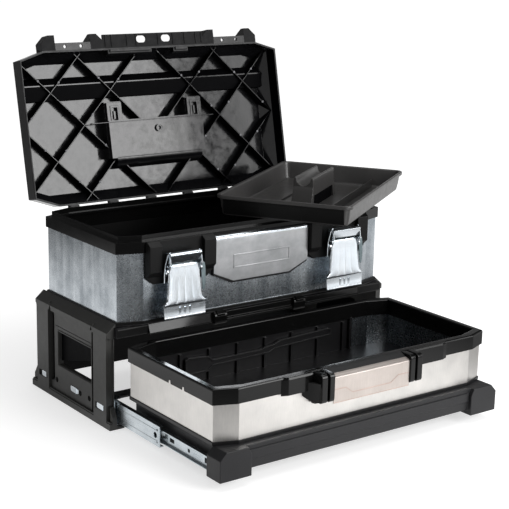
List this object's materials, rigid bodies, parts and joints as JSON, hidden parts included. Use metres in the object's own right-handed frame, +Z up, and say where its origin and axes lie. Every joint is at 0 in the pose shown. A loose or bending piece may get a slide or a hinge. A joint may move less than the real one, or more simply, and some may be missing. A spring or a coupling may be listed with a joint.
{
  "type": "metal toolbox with drawer",
  "caption": "Free-standing toolbox with a hinged lid, lift-off tray and draw latches, on a base frame whose drawer runs on telescopic slides.",
  "frame": {"origin": "on the floor, at the middle of the base frame's footprint, under its tie strap", "axes": "X to the right across the front, Y to the back, Z up; the drawer comes out along -Y"},
  "size_m": [0.636, 0.6407, 0.5666],
  "materials": {
    "black_plastic": "fine moulded grain, satin inside the lid",
    "grey_plastic": "satin",
    "soft_grip": "matt",
    "galvanised_sheet": "galvanised, with faint vertical streaks and spangle",
    "zinc_plate": "zinc plated",
    "bright_zinc": "bright zinc plated"
  },
  "bodies": {
    "chassis": {"chassis_side_left": "black_plastic", "chassis_side_right": "black_plastic", "chassis_deck": "black_plastic", "chassis_rear_panel": "black_plastic", "chassis_tie_strap": "black_plastic", "slide_outer_left": "zinc_plate", "slide_outer_right": "zinc_plate", "slide_screws_left": "zinc_plate", "slide_screws_right": "zinc_plate", "tub_wrapper": "galvanised_sheet", "tub_floor": "black_plastic", "tub_rim": "black_plastic", "hinge_pin": "zinc_plate", "front_apron": "black_plastic", "centre_plate": "galvanised_sheet", "latch_bracket_left": "black_plastic", "latch_bracket_right": "black_plastic", "latch_base_left": "zinc_plate", "latch_base_right": "zinc_plate"},
    "lid": {"lid_shell": "black_plastic", "lid_lattice": "black_plastic", "lid_keeper_left": "black_plastic", "lid_keeper_right": "black_plastic", "handle_pins": "zinc_plate"},
    "lid_handle": {"handle_bail": "black_plastic", "handle_grip": "soft_grip"},
    "drawer": {"drawer_wrapper": "galvanised_sheet", "drawer_pan": "black_plastic", "drawer_rim": "black_plastic", "drawer_base": "black_plastic", "pull_top": "black_plastic", "pull_plate": "galvanised_sheet", "pull_bracket_left": "black_plastic", "pull_bracket_right": "black_plastic", "slide_inner_left": "zinc_plate", "slide_inner_right": "zinc_plate"},
    "runner_left": {"slide_middle_left": "zinc_plate", "slide_cages_left": "zinc_plate"},
    "runner_right": {"slide_middle_right": "zinc_plate", "slide_cages_right": "zinc_plate"},
    "lever_left": {"latch_lever_left": "bright_zinc"},
    "lever_right": {"latch_lever_right": "bright_zinc"},
    "hook_left": {"latch_hook_left": "bright_zinc"},
    "hook_right": {"latch_hook_right": "bright_zinc"},
    "tray": {"tray": "grey_plastic"}
  },
  "joints": [
    {"name": "lid_hinge", "type": "hinge", "parent": "chassis", "child": "lid", "pos_m": [0, 0.125, 0.284], "axis": [1, 0, 0], "range_deg": [0, 102]},
    {"name": "lid_handle_pivot", "type": "hinge", "parent": "lid", "child": "lid_handle", "pos_m": [0, 0.19662, 0.43337], "axis": [1, 0, 0], "range_deg": [-12, 78]},
    {"name": "drawer_slide", "type": "slide", "parent": "chassis", "child": "drawer", "axis": [0, 1, 0], "range_m": [0, 0.246]},
    {"name": "runner_slide_left", "type": "slide", "parent": "chassis", "child": "runner_left", "axis": [0, 1, 0], "range_m": [0, 0.123]},
    {"name": "runner_slide_right", "type": "slide", "parent": "chassis", "child": "runner_right", "axis": [0, 1, 0], "range_m": [0, 0.123]},
    {"name": "lever_pivot_left", "type": "hinge", "parent": "chassis", "child": "lever_left", "pos_m": [-0.157, -0.148, 0.25], "axis": [-1, 0, 0], "range_deg": [0, 85]},
    {"name": "lever_pivot_right", "type": "hinge", "parent": "chassis", "child": "lever_right", "pos_m": [0.157, -0.148, 0.25], "axis": [-1, 0, 0], "range_deg": [0, 85]},
    {"name": "hook_pivot_left", "type": "hinge", "parent": "lever_left", "child": "hook_left", "pos_m": [-0.157, -0.148, 0.244], "axis": [1, 0, 0], "range_deg": [0, 85]},
    {"name": "hook_pivot_right", "type": "hinge", "parent": "lever_right", "child": "hook_right", "pos_m": [0.157, -0.148, 0.244], "axis": [1, 0, 0], "range_deg": [0, 85]},
    {"name": "tray_lift_off", "type": "slide", "parent": "chassis", "child": "tray", "axis": [0, -1, 0], "range_m": [0, 0.331]}
  ],
  "couplings": [
    {"joint": "runner_slide_left", "follows": "drawer_slide", "ratio": 0.5},
    {"joint": "runner_slide_right", "follows": "drawer_slide", "ratio": 0.5},
    {"joint": "hook_pivot_left", "follows": "lever_pivot_left", "ratio": 1},
    {"joint": "hook_pivot_right", "follows": "lever_pivot_right", "ratio": 1},
    {"joint": "tray_lift_off", "follows": "lid_hinge", "m_per_rad": 0.18536}
  ]
}
